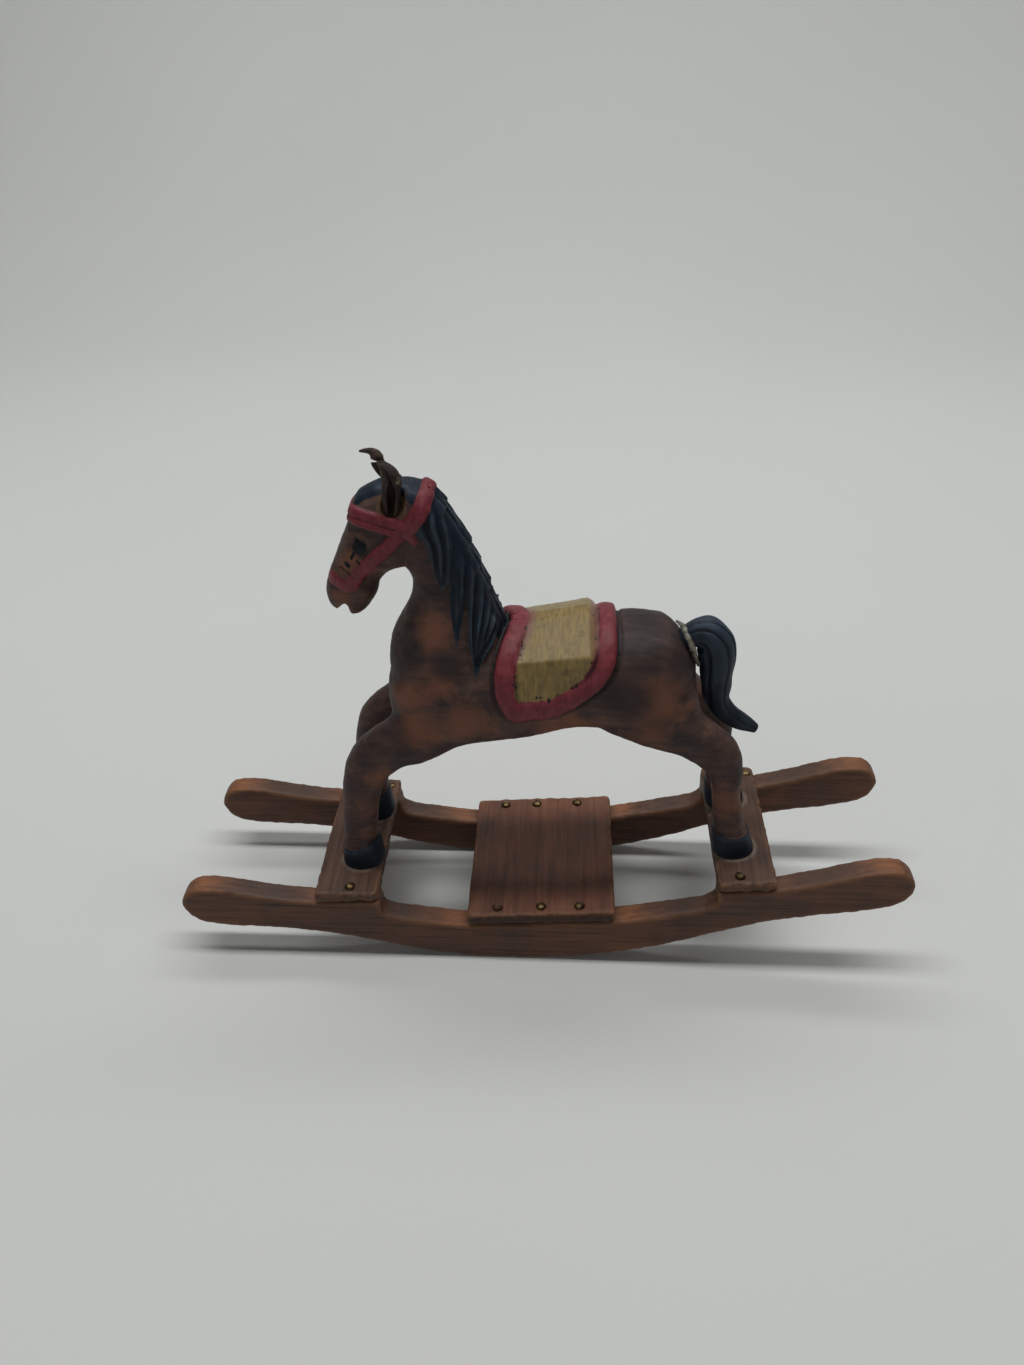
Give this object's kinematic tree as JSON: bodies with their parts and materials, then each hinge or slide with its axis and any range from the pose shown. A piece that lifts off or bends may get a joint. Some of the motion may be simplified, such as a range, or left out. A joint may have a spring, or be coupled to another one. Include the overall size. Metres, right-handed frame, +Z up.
{
  "type": "rocking horse figurine",
  "caption": "Small carved and painted wooden horse on a nailed rocker base, an ornament that rests nose down and rocks when pushed.",
  "frame": {"origin": "on the floor, in the middle of the overall box, as the horse comes to rest", "axes": "+X from the nose to the tail, +Y to the horse's right, +Z up"},
  "size_m": [0.2196, 0.0538, 0.157],
  "materials": {
    "carved_wood": "reddish-brown stain with a satin varnish, worn to orange on the edges",
    "board_wood": "sawn boards, dark stain and satin varnish",
    "tail_wood": "blue-black paint, satin",
    "ear_leather": "dark brown, rolled and dry",
    "nail_brass": "domed heads, dull and darkened"
  },
  "bodies": {
    "root": {"rocker_left": "board_wood", "rocker_right": "board_wood", "slat_front": "board_wood", "slat_rear": "board_wood", "footboard": "board_wood", "nail_slat_front_left": "nail_brass", "nail_slat_front_right": "nail_brass", "nail_slat_rear_left": "nail_brass", "nail_slat_rear_right": "nail_brass", "nail_footboard_left_1": "nail_brass", "nail_footboard_left_2": "nail_brass", "nail_footboard_left_3": "nail_brass", "nail_footboard_right_1": "nail_brass", "nail_footboard_right_2": "nail_brass", "nail_footboard_right_3": "nail_brass", "horse": "carved_wood", "tail": "tail_wood", "ear_left": "ear_leather", "ear_right": "ear_leather"}
  },
  "joints": []
}
